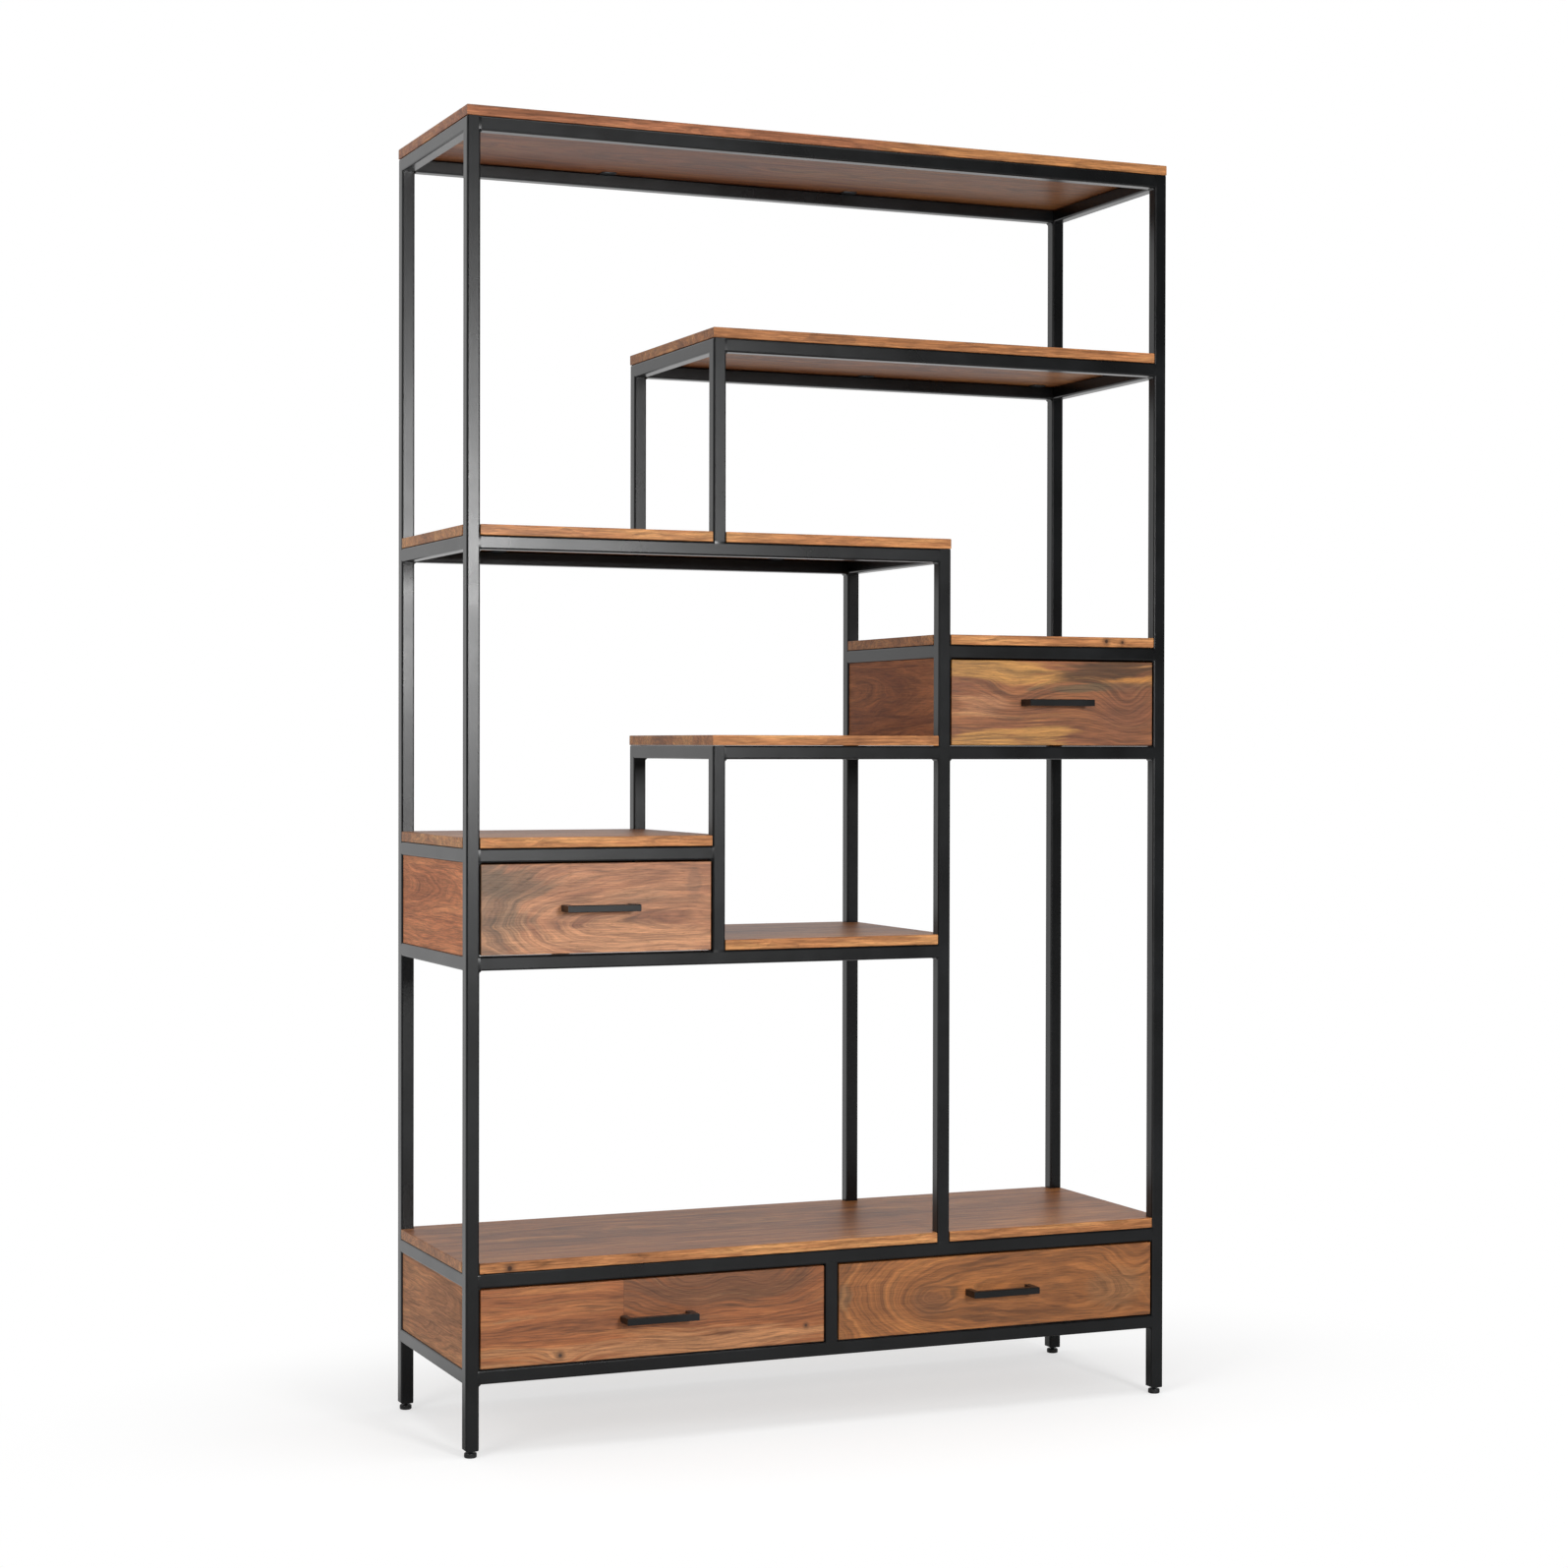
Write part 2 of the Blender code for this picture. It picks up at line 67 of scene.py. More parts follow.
# Screw tabs that hold the boards down, and where along its rail each tab sits
TAB_LENGTH = 0.024
TAB_WIDTH = 0.018
TAB_THICKNESS = 0.0015
TAB_CORNER = 0.005
SCREW_HEAD = 0.0038
SCREW_RISE = 0.0012
TAB_RINGS = ("top", "second", "third", "low", "base")
TAB_SHARES = {"top": (0.281, 0.656), "second": (0.520, 0.955)}
TAB_OTHER_SHARES = (0.18, 0.82)

# Threads of the feet's stems
GLIDE_HEIGHT = 0.007
STEM_RADIUS = 0.003
THREAD_PITCH = 0.0009
THREAD_WIRE = 0.00035

# Steps in round shapes
CORNER_STEPS = 4
HEAD_SEGMENTS = 16
HEAD_RINGS = 8
THREAD_STEPS = 24
WIRE_STEPS = 6

# Floor and backdrop: tones, light of their own, and where the floor fades out or the backdrop begins
FLOOR_REACH = 40.0
FLOOR_TONE = 0.55
FLOOR_GLOW = 0.56
FLOOR_ROUGHNESS = 0.9
FLOOR_OVAL = (0.8, 1.3, 1.0)
FLOOR_FADE = (0.45, 1.05)
WORLD_FILL = 0.40
STUDIO_DARK = 0.05
BACKDROP_EDGE = (0.0, 0.6)
WHITE = (1.0, 1.0, 1.0, 1.0)

# Lamps: place, width and height, and power in watts
LAMP_AIM = (0.0, 0.0, 0.95)
LAMPS = {
    "key": ((0.50, -4.3, 1.50), (0.82, 0.72), 86.0),
    "fill": ((-3.4, -2.4, 2.1), (1.4, 1.6), 35.0),
    "top": ((0.0, -0.6, 4.4), (3.0, 2.4), 55.0),
}

# Staves, growth rings and glue lines
STAVE = 0.082
PANEL_STAVE = 0.075
NARROW_STAVE = 0.0705
ONE_STAVE = 0.50
FRONT_STAVE = 0.30
RING_SPACING = 0.0056
RING_SHARPNESS = 4.0
RING_FADE = (0.38, 0.56)
PITH_SCATTER = 0.05
LOG_STRETCH = 3.0
NEXT_LOG = 7.0
ROW_MARGIN = 0.1
SLOW_PUSH = 0.030
QUICK_PUSH = 0.005
GLUE_LINE = 0.0005
GLUE_CORE_SHARE = 0.4
GLUE_STRENGTH = 0.45

# Noise in the wood: waves per metre across and along the grain, detail, roughness and change of seed
MIDDLE = 0.5
WOOD_NOISE = {
    "slow wave": (18.0, 5.0, 2.0, 0.55, 0.0),
    "quick wave": (60.0, 15.0, 2.0, 0.55, 0.0),
    "faint ring": (40.0, 5.0, 3.0, 0.55, 4.0),
    "blotch": (22.0, 5.0, 3.0, 0.60, 0.3),
    "band": (75.0, 4.0, 4.0, 0.70, 1.0),
    "line": (290.0, 11.0, 3.0, 0.70, 2.0),
    "streak": (170.0, 8.0, 5.0, 0.70, 3.0),
    "fibre": (640.0, 24.0, 3.0, 0.70, 0.0),
    "pore": (900.0, 110.0, 2.0, 0.50, 0.0),
}

# How the noises become tones
BAND_SHARE = 0.6
STAVE_CONTRAST = 0.12
TONE_STOPS = (0.37, 0.50, 0.64)
STREAK_EDGE = (0.52, 0.64)
LINE_EDGE = (0.30, 0.70)
FIBRE_EDGE = (0.28, 0.72)
PORE_EDGE = (0.58, 0.70)
DARKEST_SHADE = 0.47
LINE_CONTRAST = 0.55
FIBRE_CONTRAST = 0.50
PORE_STRENGTH = 0.30
PATCH_RAGGED = 2.4
PATCH_EDGE = (0.25, 0.70)

# Knots: the halo and the core as shares of the knot's size
HALO_SHARES = (0.8, 2.6)
HALO_STRENGTH = 0.6
CORE_SHARES = (0.4, 1.0)
CORE_STRENGTH = 0.85

# Lacquer
FIBRE_ROUGHNESS = 0.14
COAT_ROUGHNESS = 0.22
FIBRE_RELIEF = 0.45
GLUE_RELIEF = 0.8
WOOD_RELIEF = 0.00014
WOOD_RELIEF_STRENGTH = 0.8

# Tones of the wood: deep, base, light and streak
BOARD_TONES = ("814f2c", "a0653a", "bb804a", "583925")
TOP_TONES = ("76462b", "925838", "a76d41", "503221")
PANEL_TONES = ("895333", "aa6c45", "c48557", "5b3c2b")
# Partly own tone, partly painted light: the next three are copies of the panel wood raised in tone,
# standing in for light on the side panels turned to the left
DARK_PANEL_TONES = ("945a3b", "a96a44", "bb7850", "583827")
RED_PANEL_TONES = ("c67c55", "db8e63", "eda16f", "784d38")
PALE_PANEL_TONES = ("a5704b", "b87e57", "ca8f64", "5f4232")
LEFT_TONES = ("84533b", "a66f4d", "bf865f", "534235")
RIGHT_TONES = ("74442a", "925934", "aa6d3d", "4e3d2a")
BASE_LEFT_TONES = ("824a25", "a05e32", "b67541", "57371e")
BASE_RIGHT_TONES = ("824e25", "a36533", "bb793c", "5c4225")
INNER_TONES = ("9c6f4a", "b5865c", "c99c72", "83603f")
# Painted light: the boards' sideways faces (edges and ends) are multiplied by this, so they come out
# lighter than their broad faces
EDGE_PAINTED_LIGHT = (1.38, 1.56, 1.85, 1.0)

# Tones of marks in the wood
GLUE = "3a2418"
KNOT_CORE = "2b1a13"
GOLD = "c08a46"
BRIGHT_GOLD = "c9873f"
HONEY = "a76f3a"
OLIVE = "5d5038"
GREY_BROWN = "65543f"

# Powder coat: tones, waves per metre of its patches and grain, roughness and relief
FRAME_BLACK = "08090a"
HANDLE_BLACK = "070808"
DULL_BLACK = "111315"
COAT_PATCH_WAVES = 9.0
COAT_GRIT_WAVES = 1400.0
COAT_DULL_EDGE = (0.35, 0.75)
FRAME_ROUGHNESS = 0.22
HANDLE_ROUGHNESS = 0.25
COAT_UNEVENNESS = 0.14
COAT_SPECULAR = 0.40
COAT_RELIEF = 0.00004
COAT_RELIEF_STRENGTH = 0.3

# Zinc of the tabs: tones, waves per metre, roughness and how metallic it is
ZINC_TONES = ("3c3f42", "565a5e")
ZINC_WAVES = 120.0
ZINC_ROUGHNESS = 0.30
ZINC_UNEVENNESS = 0.25
ZINC_METALLIC = 0.6

# Plastic of the glides: tones, waves per metre, roughness and relief
PLASTIC_TONES = ("161617", "232425")
PLASTIC_WAVES = 900.0
PLASTIC_ROUGHNESS = 0.42
PLASTIC_UNEVENNESS = 0.15
PLASTIC_RELIEF = 0.00005
PLASTIC_RELIEF_STRENGTH = 0.5

# Boards: stave offset, seed, and knots on the front edge by their X, lift from the board's middle and size
BOARDS = {
    "top_board": (0.010, 3.1, ()),
    "second_board": (0.020, 7.4, ()),
    "third_board": (0.015, 11.2, ()),
    "right_box_board": (0.030, 14.9, ((0.459, 0.001, 0.004), (0.487, 0.000, 0.003))),
    "middle_board": (0.012, 19.3, ()),
    "left_box_board": (0.026, 23.8, ()),
    "low_board": (0.018, 29.5, ()),
    "base_board": (0.022, 33.7, ((-0.498, -0.002, 0.005),)),
}

# Side panels: tones and seed. The dark, red and pale tones are partly the panels' own colour and partly
# painted light on the panels turned to the left
PANELS = {
    "left_box_outer_panel": (RED_PANEL_TONES, 41.0),
    "left_box_inner_panel": (PANEL_TONES, 43.0),
    "right_box_inner_panel": (DARK_PANEL_TONES, 47.0),
    "right_box_outer_panel": (PANEL_TONES, 53.0),
    "base_left_panel": (PALE_PANEL_TONES, 59.0),
    "base_right_panel": (PANEL_TONES, 61.0),
    "base_partition": (PANEL_TONES, 67.0),
}

# Marks, from the middle of the piece: place along and across, two radii, then height or tone and strength.
# A knot is a point and a size; a joint is a place along the grain and the number of the stave it cuts.
TOP_PATCHES = {"lighter right half": (0.45, 0.0, 0.40, 0.60, HONEY, 0.55)}
LEFT_FRONT = dict(
    tones=LEFT_TONES, seed=81.0, streaks=0.15, rings=0.28, pith=(-0.015, -0.045), tilt=0.05,
    hills={
        "arches at the left": (-0.20, -0.015, 0.10, 0.12, 0.050),
        "dip at the top right": (0.10, 0.060, 0.060, 0.030, -0.010),
    },
    patches={
        "brown left third": (-0.160, 0.000, 0.034, 0.090, "80624a", 0.70),
        "grey brown above": (-0.135, 0.038, 0.055, 0.022, GREY_BROWN, 0.60),
        "grey brown below": (-0.130, -0.018, 0.035, 0.014, GREY_BROWN, 0.50),
        "dark right end": (0.148, 0.040, 0.012, 0.030, "7a5640", 0.50),
        "pale lower edge": (0.04, -0.045, 0.16, 0.022, "d09468", 0.65),
    })
RIGHT_FRONT = dict(
    tones=RIGHT_TONES, seed=87.0, streaks=0.35, rings=0.38, pith=(-0.200, -0.050),
    hills={
        "low wave": (-0.065, 0.008, 0.050, 0.030, 0.022),
        "arch at the right": (0.130, -0.010, 0.045, 0.045, 0.034),
    },
    patches={
        "golden band above": (-0.090, 0.050, 0.115, 0.021, GOLD, 0.9),
        "dark fringe": (0.100, 0.052, 0.090, 0.024, "50331a", 0.9),
        "gold under the fringe": (0.140, 0.033, 0.045, 0.008, BRIGHT_GOLD, 0.8),
        "olive line": (0.050, 0.025, 0.100, 0.007, OLIVE, 0.75),
        "gold below left": (-0.120, -0.056, 0.060, 0.016, GOLD, 0.8),
        "gold below": (-0.020, -0.048, 0.070, 0.016, GOLD, 0.75),
        "red brown right": (0.125, -0.020, 0.055, 0.050, "7d4c33", 0.6),
        "pale left": (-0.110, 0.000, 0.050, 0.020, "b5805a", 0.5),
    })
BASE_LEFT_FRONT = dict(
    tones=BASE_LEFT_TONES, seed=93.0, stave=NARROW_STAVE, stave_offset=0.0135, streaks=0.25, rings=0.35,
    joint=(-0.05, 0.0), knots=[(-0.146, -0.01, -0.045, 0.004), (0.235, -0.01, -0.030, 0.003)],
    hills={
        "swell round the knot": (-0.146, -0.045, 0.030, 0.012, 0.015),
        "arches past the joint": (0.05, 0.050, 0.060, 0.050, 0.060),
        "arches at the right": (0.17, 0.040, 0.070, 0.050, 0.050),
        "low wave below": (0.10, -0.050, 0.110, 0.020, 0.012),
    },
    patches={
        "dark stave": (0.11, 0.040, 0.17, 0.040, "6f462b", 0.85),
        "pale lower stave": (0.05, -0.040, 0.30, 0.020, "c08a5c", 0.6),
    })
BASE_RIGHT_FRONT = dict(
    tones=BASE_RIGHT_TONES, seed=99.0, streaks=0.25, rings=0.42, pith=(-0.005, -0.045), tilt=0.04,
    hills={
        "arches at the left": (-0.31, 0.000, 0.150, 0.160, 0.085),
        "oval": (-0.118, -0.013, 0.045, 0.028, -0.020),
        "swell at the right": (0.24, 0.030, 0.050, 0.060, 0.035),
    },
    patches={
        "brown oval": (-0.115, -0.013, 0.035, 0.022, "6e462c", 0.50),
        "olive left end": (-0.255, 0.008, 0.018, 0.018, OLIVE, 0.5),
        "brown right": (0.200, -0.010, 0.060, 0.035, "84603f", 0.5),
    })
FRONTS = {
    "left_drawer": LEFT_FRONT,
    "right_drawer": RIGHT_FRONT,
    "base_left_drawer": BASE_LEFT_FRONT,
    "base_right_drawer": BASE_RIGHT_FRONT,
}


def colour(code):
    """A colour from its six-digit screen code, in scene units."""
    values = [int(code[i:i + 2], 16) / 255 for i in (0, 2, 4)]
    linear = [v / 12.92 if v <= 0.04045 else ((v + 0.055) / 1.055) ** 2.4 for v in values]
    return (*linear, 1.0)


def put(tree, socket, value):
    """Join a socket to a value, which is another socket or a number."""
    if isinstance(value, bpy.types.NodeSocket):
        tree.links.new(value, socket)
    else:
        socket.default_value = value


def math_node(tree, operation, *values):
    """One sum on numbers."""
    node = tree.nodes.new("ShaderNodeMath")
    node.operation = operation
    for socket, value in zip(node.inputs, values):
        put(tree, socket, value)
    return node.outputs[0]


def plus(tree, a, b):
    """a + b."""
    return math_node(tree, "ADD", a, b)


def minus(tree, a, b):
    """a - b."""
    return math_node(tree, "SUBTRACT", a, b)


def times(tree, a, b):
    """a times b."""
    return math_node(tree, "MULTIPLY", a, b)


def times_plus(tree, a, b, c):
    """a times b, plus c."""
    return math_node(tree, "MULTIPLY_ADD", a, b, c)


def rest_of(tree, share):
    """What is left of one when a share is taken away."""
    return minus(tree, 1.0, share)


def steps_between(tree, value, low, high):
    """A number from 0 at low to 1 at high, with soft ends."""
    node = tree.nodes.new("ShaderNodeMapRange")
    node.interpolation_type = "SMOOTHSTEP"
    put(tree, node.inputs["Value"], value)
    put(tree, node.inputs["From Min"], low)
    put(tree, node.inputs["From Max"], high)
    return node.outputs["Result"]


def parts_of(tree, vector):
    """The X, Y and Z of a vector."""
    split = tree.nodes.new("ShaderNodeSeparateXYZ")
    put(tree, split.inputs[0], vector)
    return split.outputs


def mix(tree, factor, a, b, mode="MIX"):
    """A blend of two colours."""
    node = tree.nodes.new("ShaderNodeMix")
    node.data_type = "RGBA"
    node.blend_type = mode
    put(tree, node.inputs[0], factor)
    put(tree, node.inputs[6], a)
    put(tree, node.inputs[7], b)
    return node.outputs[2]


def ramp(tree, factor, stops):
    """A colour ramp through the given stops, each a place and a colour."""
    node = tree.nodes.new("ShaderNodeValToRGB")
    put(tree, node.inputs[0], factor)
    band = node.color_ramp
    for place, tint in stops[1:-1]:
        band.elements.new(place)
    for element, (place, tint) in zip(band.elements, stops):
        element.position = place
        element.color = tint
    return node.outputs[0]


def noise(tree, vector, scale, detail=3.0, roughness=0.55):
    """Smooth noise, as a number."""
    node = tree.nodes.new("ShaderNodeTexNoise")
    put(tree, node.inputs["Vector"], vector)
    node.inputs["Scale"].default_value = scale
    node.inputs["Detail"].default_value = detail
    node.inputs["Roughness"].default_value = roughness
    return node.outputs["Fac"]


def mapped(tree, vector, location=(0.0, 0.0, 0.0), scale=(1.0, 1.0, 1.0)):
    """A vector moved and stretched."""
    node = tree.nodes.new("ShaderNodeMapping")
    put(tree, node.inputs["Vector"], vector)
    node.inputs["Location"].default_value = location
    node.inputs["Scale"].default_value = scale
    return node.outputs[0]


def new_material(name):
    """A material with its shader and the piece's own coordinates."""
    material = bpy.data.materials.new(name)
    material.use_nodes = True
    tree = material.node_tree
    shader = tree.nodes["Principled BSDF"]
    place = tree.nodes.new("ShaderNodeTexCoord").outputs["Object"]
    return material, tree, shader, place


def bump(tree, shader, height, distance, strength):
    """Relief in the surface from a height."""
    node = tree.nodes.new("ShaderNodeBump")
    put(tree, node.inputs["Height"], height)
    node.inputs["Distance"].default_value = distance
    node.inputs["Strength"].default_value = strength
    tree.links.new(node.outputs[0], shader.inputs["Normal"])


def hill(tree, along, side, shape):
    """A smooth round rise on the face: its place, its two radii and its height."""
    x, y, reach, width, height = shape
    a = times_plus(tree, along, 1 / reach, -x / reach)
    b = times_plus(tree, side, 1 / width, -y / width)
    away = plus(tree, times(tree, a, a), times(tree, b, b))
    fall = math_node(tree, "EXPONENT", times(tree, away, -1.0))
    return times(tree, fall, height)


def wood_noise(tree, kind, along, cross, deep, seed):
    """One noise of the wood, drawn out along the grain; cross is the field that it follows."""
    across_waves, along_waves, detail, roughness, change = WOOD_NOISE[kind]
    vector = tree.nodes.new("ShaderNodeCombineXYZ")
    put(tree, vector.inputs["X"], times_plus(tree, along, along_waves, seed + change))
    put(tree, vector.inputs["Y"], times_plus(tree, cross, across_waves, seed + change))
    put(tree, vector.inputs["Z"], times(tree, deep, across_waves))
    return noise(tree, vector.outputs[0], 1.0, detail, roughness)


def staves(tree, along, side, stave, stave_offset, joint):
    """Where a point lies in the row of staves: its count, its stave's number and whether a joint cuts it.

    joint is the place of a butt joint along the grain and the number of the stave that it cuts.
    """
    count = math_node(tree, "DIVIDE", plus(tree, side, stave_offset), stave)
    number = math_node(tree, "FLOOR", count)
    if not joint:
        return count, number, None
    butt, row = joint
    cut = math_node(tree, "COMPARE", number, row, ROW_MARGIN)
    beyond = times(tree, math_node(tree, "GREATER_THAN", along, butt), cut)
    return count, times_plus(tree, beyond, NEXT_LOG, number), cut


def pith_distance(tree, along, side, deep, shift, pith, tilt):
    """How far a point is from the pith, which is scattered from stave to stave."""
    off = times_plus(tree, shift, PITH_SCATTER, minus(tree, side, pith[0]))
    depth = times_plus(tree, along, -tilt, minus(tree, deep, pith[1]))
    square = plus(tree, times(tree, off, off), times(tree, depth, depth))
    return math_node(tree, "SQRT", square)


def log_waves(tree, log, side, deep, seed):
    """How far the log's slow and quick waves push the grain aside."""
    slow = wood_noise(tree, "slow wave", log, side, deep, seed)
    quick = wood_noise(tree, "quick wave", log, side, deep, seed)
    push = times(tree, minus(tree, slow, MIDDLE), SLOW_PUSH)
    return times_plus(tree, minus(tree, quick, MIDDLE), QUICK_PUSH, push)


def growth_rings(tree, radius, faint):
    """Thin dark rings that fade in and out."""
    saw = math_node(tree, "FRACT", math_node(tree, "DIVIDE", radius, RING_SPACING))
    ring = math_node(tree, "POWER", saw, RING_SHARPNESS)
    return times(tree, ring, steps_between(tree, faint, *RING_FADE))


def add_patches(tree, body, along, curl, band, patches):
    """Areas of another tone, whose edges the bands make ragged."""
    for *shape, tone, strength in patches:
        area = hill(tree, along, curl, (*shape, 1.0))
        ragged = times_plus(tree, minus(tree, band, MIDDLE), PATCH_RAGGED, area)
        area = times(tree, steps_between(tree, ragged, *PATCH_EDGE), strength)
        body = mix(tree, area, body, colour(tone))
    return body


def add_shade(tree, body, line, fibre):
    """Fine lines and fibres, as light and shade."""
    shade = times_plus(tree, steps_between(tree, line, *LINE_EDGE), LINE_CONTRAST, DARKEST_SHADE)
    shade = times_plus(tree, steps_between(tree, fibre, *FIBRE_EDGE), FIBRE_CONTRAST, shade)
    grey = tree.nodes.new("ShaderNodeCombineColor")
    for socket in grey.inputs:
        put(tree, socket, shade)
    return mix(tree, 1.0, body, grey.outputs[0], "MULTIPLY")


def figure(tree, layer, shift, tones, along, curl, patches, rings, streaks):
    """The tones of the wood: bands, patches, rings, streaks, fine lines and pores."""
    *body_tones, streak_tone = tones
    level = times_plus(tree, layer["band"], BAND_SHARE, times(tree, layer["blotch"], 1 - BAND_SHARE))
    level = times_plus(tree, shift, STAVE_CONTRAST, level)
    body = ramp(tree, level, list(zip(TONE_STOPS, body_tones)))
    body = add_patches(tree, body, along, curl, layer["band"], patches)
    body = mix(tree, times(tree, layer["ring"], rings), body, streak_tone)
    dark = steps_between(tree, layer["streak"], *STREAK_EDGE)
    body = mix(tree, times(tree, dark, streaks), body, streak_tone)
    body = add_shade(tree, body, layer["line"], layer["fibre"])
    return mix(tree, times(tree, layer["pore"], PORE_STRENGTH), body, streak_tone)


def add_knot(tree, body, place, knot, dark):
    """A small round knot at a point of the piece, with a stained halo."""
    *point, size = knot
    node = tree.nodes.new("ShaderNodeVectorMath")
    node.operation = "DISTANCE"
    put(tree, node.inputs[0], place)
    node.inputs[1].default_value = point
    away = node.outputs["Value"]
    halo = rest_of(tree, steps_between(tree, away, *[size * share for share in HALO_SHARES]))
    body = mix(tree, times(tree, halo, HALO_STRENGTH), body, dark)
    core = rest_of(tree, steps_between(tree, away, *[size * share for share in CORE_SHARES]))
    return mix(tree, times(tree, core, CORE_STRENGTH), body, colour(KNOT_CORE))


def paint_light_on_edges(tree, body, tint):
    """Painted light: edges and ends, which face sideways, are made lighter than a board's broad faces."""
    facing = parts_of(tree, tree.nodes.new("ShaderNodeTexCoord").outputs["Normal"])
    on_edge = rest_of(tree, math_node(tree, "ABSOLUTE", facing["Z"]))
    return mix(tree, on_edge, body, mix(tree, 1.0, body, tint, "MULTIPLY"))


def dark_line(tree, away):
    """A thin line, from how far away it is."""
    return rest_of(tree, steps_between(tree, away, GLUE_LINE * GLUE_CORE_SHARE, GLUE_LINE))


def glue_lines(tree, along, count, cut, stave, joint):
    """Lines between the staves, and across the stave that a butt joint cuts."""
    line = dark_line(tree, times(tree, math_node(tree, "PINGPONG", count, 0.5), stave))
    if joint:
        butt_line = dark_line(tree, math_node(tree, "ABSOLUTE", minus(tree, along, joint[0])))
        line = math_node(tree, "MAXIMUM", line, times(tree, butt_line, cut))
    return line


def lacquer(tree, shader, fibre, pore, line, gloss, coat, specular):
    """The finish over the wood, with the relief of fibres, pores and glue lines."""
    put(tree, shader.inputs["Roughness"], times_plus(tree, fibre, FIBRE_ROUGHNESS, gloss))
    shader.inputs["Specular IOR Level"].default_value = specular
    shader.inputs["Coat Weight"].default_value = coat
    shader.inputs["Coat Roughness"].default_value = COAT_ROUGHNESS
    relief = minus(tree, times(tree, fibre, FIBRE_RELIEF), pore)
    relief = minus(tree, relief, times(tree, line, GLUE_RELIEF))
    bump(tree, shader, relief, WOOD_RELIEF, WOOD_RELIEF_STRENGTH)


def wood(name, tones, grain="X", across="Z", centre=(0.0, 0.0, 0.0), stave=STAVE, stave_offset=0.0,
         pith=(-0.4, -0.03), tilt=0.0, spread=1.0, seed=0.0, streaks=0.35, rings=0.5, hills=None,
         patches=None, knots=(), joint=None, gloss=0.34, coat=0.30, specular=0.5, edge_painted_light=None):
    """Lacquered hardwood: growth rings about a pith that runs along the grain.

    pith is the pith's place across the face and through it, and tilt lets it rise along the grain.
    Hills push the rings into ovals and arches, and patches are areas of another tone. Each stave of a
    glued piece has its own tone and comes from another part of the log, by as much as spread says.
    """
    material, tree, shader, place = new_material(name)
    through = next(axis for axis in "XYZ" if axis not in (grain, across))
    moved = mapped(tree, place, location=tuple(-c for c in centre))
    parts = parts_of(tree, moved)
    along, side, deep = parts[grain], parts[across], parts[through]

    # Each stave takes a random tone and another stretch of the log
    count, number, cut = staves(tree, along, side, stave, stave_offset, joint)
    chance = tree.nodes.new("ShaderNodeTexWhiteNoise")
    chance.noise_dimensions = "1D"
    put(tree, chance.inputs["W"], plus(tree, number, seed))
    pick = chance.outputs["Value"]
    shift = times(tree, minus(tree, pick, MIDDLE), spread)
    log = times_plus(tree, pick, LOG_STRETCH * spread, along)

    # The log's waves push rings and patches about, and hills bend the rings
    push = log_waves(tree, log, side, deep, seed)
    curl = plus(tree, push, side)
    radius = plus(tree, pith_distance(tree, along, side, deep, shift, pith, tilt), push)
    for shape in (hills or {}).values():
        radius = plus(tree, radius, hill(tree, along, curl, shape))

    # Rings, bands, lines and streaks follow the distance from the pith; fibres and pores run straight
    followed = {"blotch": curl, "faint ring": radius, "band": radius, "line": radius, "streak": radius,
                "fibre": side, "pore": side}
    layer = {kind: wood_noise(tree, kind, log, cross, deep, seed) for kind, cross in followed.items()}
    layer["ring"] = growth_rings(tree, radius, layer["faint ring"])
    layer["pore"] = steps_between(tree, layer["pore"], *PORE_EDGE)

    # Colour, then the marks that lie over it
    tones = [colour(code) for code in tones]
    body = figure(tree, layer, shift, tones, along, curl, (patches or {}).values(), rings, streaks)
    for knot in knots:
        body = add_knot(tree, body, moved, knot, tones[-1])
    # Painted light: sideways faces are made lighter than the broad faces
    if edge_painted_light:
        body = paint_light_on_edges(tree, body, edge_painted_light)
    glue = glue_lines(tree, along, count, cut, stave, joint)
    body = mix(tree, times(tree, glue, GLUE_STRENGTH), body, colour(GLUE))
    put(tree, shader.inputs["Base Color"], body)
    lacquer(tree, shader, layer["fibre"], layer["pore"], glue, gloss, coat, specular)
    return material


def powder_coat(name, code, roughness):
    """Satin black powder coat with its fine grain and a few duller patches."""
    material, tree, shader, place = new_material(name)
    patch = noise(tree, place, COAT_PATCH_WAVES, detail=3.0, roughness=0.6)
    grit = noise(tree, place, COAT_GRIT_WAVES, detail=2.0, roughness=0.5)
    dull = steps_between(tree, patch, *COAT_DULL_EDGE)
    put(tree, shader.inputs["Base Color"], mix(tree, dull, colour(code), colour(DULL_BLACK)))
    put(tree, shader.inputs["Roughness"], times_plus(tree, patch, COAT_UNEVENNESS, roughness))
    shader.inputs["Specular IOR Level"].default_value = COAT_SPECULAR
    bump(tree, shader, grit, COAT_RELIEF, COAT_RELIEF_STRENGTH)
    return material


def dull_steel(name):
    """Zinc-plated steel of the screw tabs."""
    material, tree, shader, place = new_material(name)
    patch = noise(tree, place, ZINC_WAVES)
    put(tree, shader.inputs["Base Color"], mix(tree, patch, *[colour(code) for code in ZINC_TONES]))
    put(tree, shader.inputs["Roughness"], times_plus(tree, patch, ZINC_UNEVENNESS, ZINC_ROUGHNESS))
    shader.inputs["Metallic"].default_value = ZINC_METALLIC
    return material


